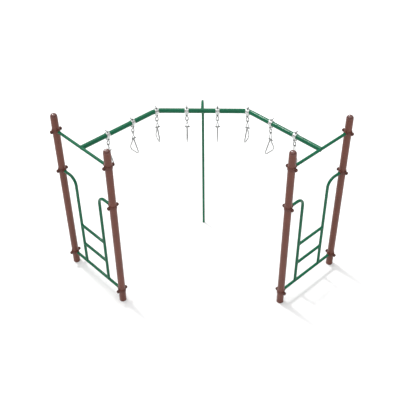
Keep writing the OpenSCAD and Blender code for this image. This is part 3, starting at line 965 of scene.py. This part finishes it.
def cross_bolt():
    """The bolt along X, from its head outside one ear to its nut and thread outside the other."""
    out = (ear_pitch + shackle_ear_t) / 2 + seat_gap
    parts = [
        lifted(button_head(pin_head_r, pin_head_t) * (1, 1, -1), -out),
        shank(cross_bolt_r, -out - shank_lap, out),
        threaded(cross_bolt_r, out - shank_lap, out + pin_head_t + pin_tail),
        lifted(hexagon_nut(pin_head_r, pin_head_t, cross_bolt_r - nut_bite), out),
    ]
    return [part[..., [2, 0, 1]] + (0, 0, -pin_z) for part in parts]


for hanger in hangers:
    shells = [placed(part, *hanger_place(hanger)) for part in cross_bolt()]
    body, node = f"shackle_{hanger}", f"cross_bolt_{hanger}"
    solid(f"ring_bolt_{hanger}", shells, steel, body, node, bolt_sharp)

# ---- Rings ----
# Each hand ring is a galvanised steel rod bent to a triangle with round lower corners, both of its
# ends welded to a short sleeve that turns on the cross bolt. Hands keep its grip bright.

ring_rod_r = 7.95 * mm
ring_w = 165 * mm
ring_drop = 198 * mm
ring_corner_r = 32 * mm
ring_sleeve_r = 10.05 * mm
ring_side_gap = 0.4 * mm
ring_sleeve_l = ear_pitch - shackle_ear_t - 2 * ring_side_gap
ring_sides = 32
ring_bead_r = 1.2 * mm
ring_bead_out = 0.1 * mm
ring_bead_drop = 3.2 * mm
ring_sleeve_edge = 1.0 * mm
ring_bore_gap = 0.05 * mm
leg_sunk = 2 * mm
grip_drop = 150 * mm
grip_fade = 90 * mm
grip_top_z = beam_z - pin_z - grip_drop


def hand_polished(name, dull, bright, grip):
    """Galvanised rod, matt above and rubbed bright towards the grip, with fine scratches there."""
    rod = Finish(name)
    height = rod.node("SeparateXYZ", {}, {"Vector": rod.place}, out="Z")
    patch = rod.noise(45.0, 4.0)
    rub = (1 - rod.step(height + 0.05 * patch, grip, grip + grip_fade)).clamped()
    scratch = rod.step(rod.noise(650.0, 4.0), 0.56, 0.64)
    tone = (0.5 * patch + 0.5 * rub).clamped()
    colour = rod.blend(0.25 * scratch * rub, rod.blend(tone, dull, bright), (0.75, 0.75, 0.74))
    return rod.shade({
        "Base Color": colour,
        "Metallic": 0.9,
        "Roughness": 0.40 - 0.16 * rub + 0.10 * patch,
        "Normal": rod.bump(rod.noise(500.0, 3.0), 0.22, 0.15 * mm),
    })


def ring_path():
    """Down a leaning leg, round a corner arc tangent to it, along the grip, and up the other side.
    With (p, q) from the leg's root to the corner's centre and d its length, the lean is
    atan2(p, q) + asin(R / d)."""
    root_y = ring_sleeve_r - ring_rod_r + leg_sunk
    root = np.array([root_y, -pin_z - root_y])
    low = -pin_z - ring_drop + ring_rod_r
    centre = np.array([ring_w / 2 - ring_rod_r - ring_corner_r, low + ring_corner_r])
    p, q = centre[0] - root[0], root[1] - centre[1]
    lean = math.degrees(math.atan2(p, q) + math.asin(ring_corner_r / math.hypot(p, q)))
    half = np.concatenate([root[None], arc(centre, ring_corner_r, lean, -90, 18)])
    plan = np.concatenate([half, (half * (-1, 1))[::-1]])
    return np.stack([0 * plan[:, 0], plan[:, 0], plan[:, 1]], -1)


def hand_ring():
    """The rod, its sleeve on the cross bolt, and a ring of weld round each leg near the sleeve."""
    path = ring_path()
    side = np.array([1.0, 0, 0])
    parts = [tube(path, side, ring_rod_r, ring_sides)]
    turn = np.linspace(0, 2 * np.pi, 40, endpoint=False)[:, None]
    for end, inner in ((path[0], path[1]), (path[-1], path[-2])):
        down = (inner - end) / np.linalg.norm(inner - end)
        toe = end + ring_bead_drop * down
        ring = np.cos(turn) * side + np.sin(turn) * np.cross(down, side)
        weld = toe + (ring_rod_r + ring_bead_out) * ring
        parts.append(bead(weld, down, size=ring_bead_r))
    bore = cross_bolt_r + ring_bore_gap
    barrel = sleeve(ring_sleeve_r, ring_sleeve_l, bore, ring_sleeve_edge)
    parts.append(barrel[..., [2, 0, 1]] + (0, 0, -pin_z))
    return parts


rod_dull, rod_bright = (0.32, 0.325, 0.325), (0.56, 0.565, 0.56)
rod_finish = hand_polished("galvanised_rod", rod_dull, rod_bright, grip_top_z)
for hanger in hangers:
    body = node = f"ring_{hanger}"
    shells = [placed(part, *hanger_place(hanger)) for part in hand_ring()]
    solid(f"hand_ring_{hanger}", shells, rod_finish, body, node)

# ---- Floor, light and camera ----
# A plain white studio floor runs out past the view. A broad soft light stands overhead, a smaller
# key comes from the back left, and the camera looks down from in front.

floor_half = 60.0
floor_white = 0.90
overhead_strength, overhead_spread, overhead_from = 2.2, 90.0, (-0.15, 0.1, 1.0)
key_strength, key_spread, key_from = 1.6, 8.0, (-0.40, 0.42, 0.84)
world_strength = 0.40


def sun(name, strength, spread, source):
    """A far light whose rays come from the direction source, softened over spread degrees."""
    light = bpy.data.lights.new(name, "SUN")
    light.energy = strength
    light.angle = math.radians(spread)
    lamp = bpy.data.objects.new(name, light)
    lamp.rotation_euler = Vector(source).to_track_quat("Z", "Y").to_euler()
    bpy.context.scene.collection.objects.link(lamp)


paper = Finish("studio_floor")
grain = paper.noise(2.0, 2.0)
paper.shade({
    "Base Color": (floor_white, floor_white, floor_white, 1.0),
    "Roughness": 0.85 + 0.1 * grain,
    "Specular IOR Level": 0.0,
})
floor_mesh = bpy.data.meshes.new("studio_floor")
floor_turns = ((-1, -1), (1, -1), (1, 1), (-1, 1))
floor_corners = [(x * floor_half, y * floor_half, 0) for x, y in floor_turns]
floor_mesh.from_pydata(floor_corners, [], [(0, 1, 2, 3)])
floor_mesh.materials.append(paper.material)
floor = bpy.data.objects.new("studio_floor", floor_mesh)
bpy.context.scene.collection.objects.link(floor)

sun("overhead", overhead_strength, overhead_spread, overhead_from)
sun("key", key_strength, key_spread, key_from)
world = bpy.data.worlds.new("studio")
world.use_nodes = True
sky = world.node_tree.nodes["Background"].inputs
sky["Color"].default_value = (1.0, 1.0, 1.0, 1.0)
sky["Strength"].default_value = world_strength
bpy.context.scene.world = world
bpy.context.scene.view_settings.view_transform = "Standard"

camera_at = Vector((0.2024, -7.1441, 6.9331))
camera_down = 39.411
camera_left = 1.825
camera_roll = -0.675
lens = bpy.data.cameras.new("view")
lens.sensor_width = 36.0
lens.lens = 65.19
lens.clip_end = 200.0
camera = bpy.data.objects.new("view", lens)
camera.matrix_world = (
    Matrix.Translation(camera_at)
    @ Matrix.Rotation(math.radians(camera_left), 4, "Z")
    @ Matrix.Rotation(math.radians(90 - camera_down), 4, "X")
    @ Matrix.Rotation(math.radians(camera_roll), 4, "Z")
)
bpy.context.scene.collection.objects.link(camera)
bpy.context.scene.camera = camera

bpy.context.view_layer.update()
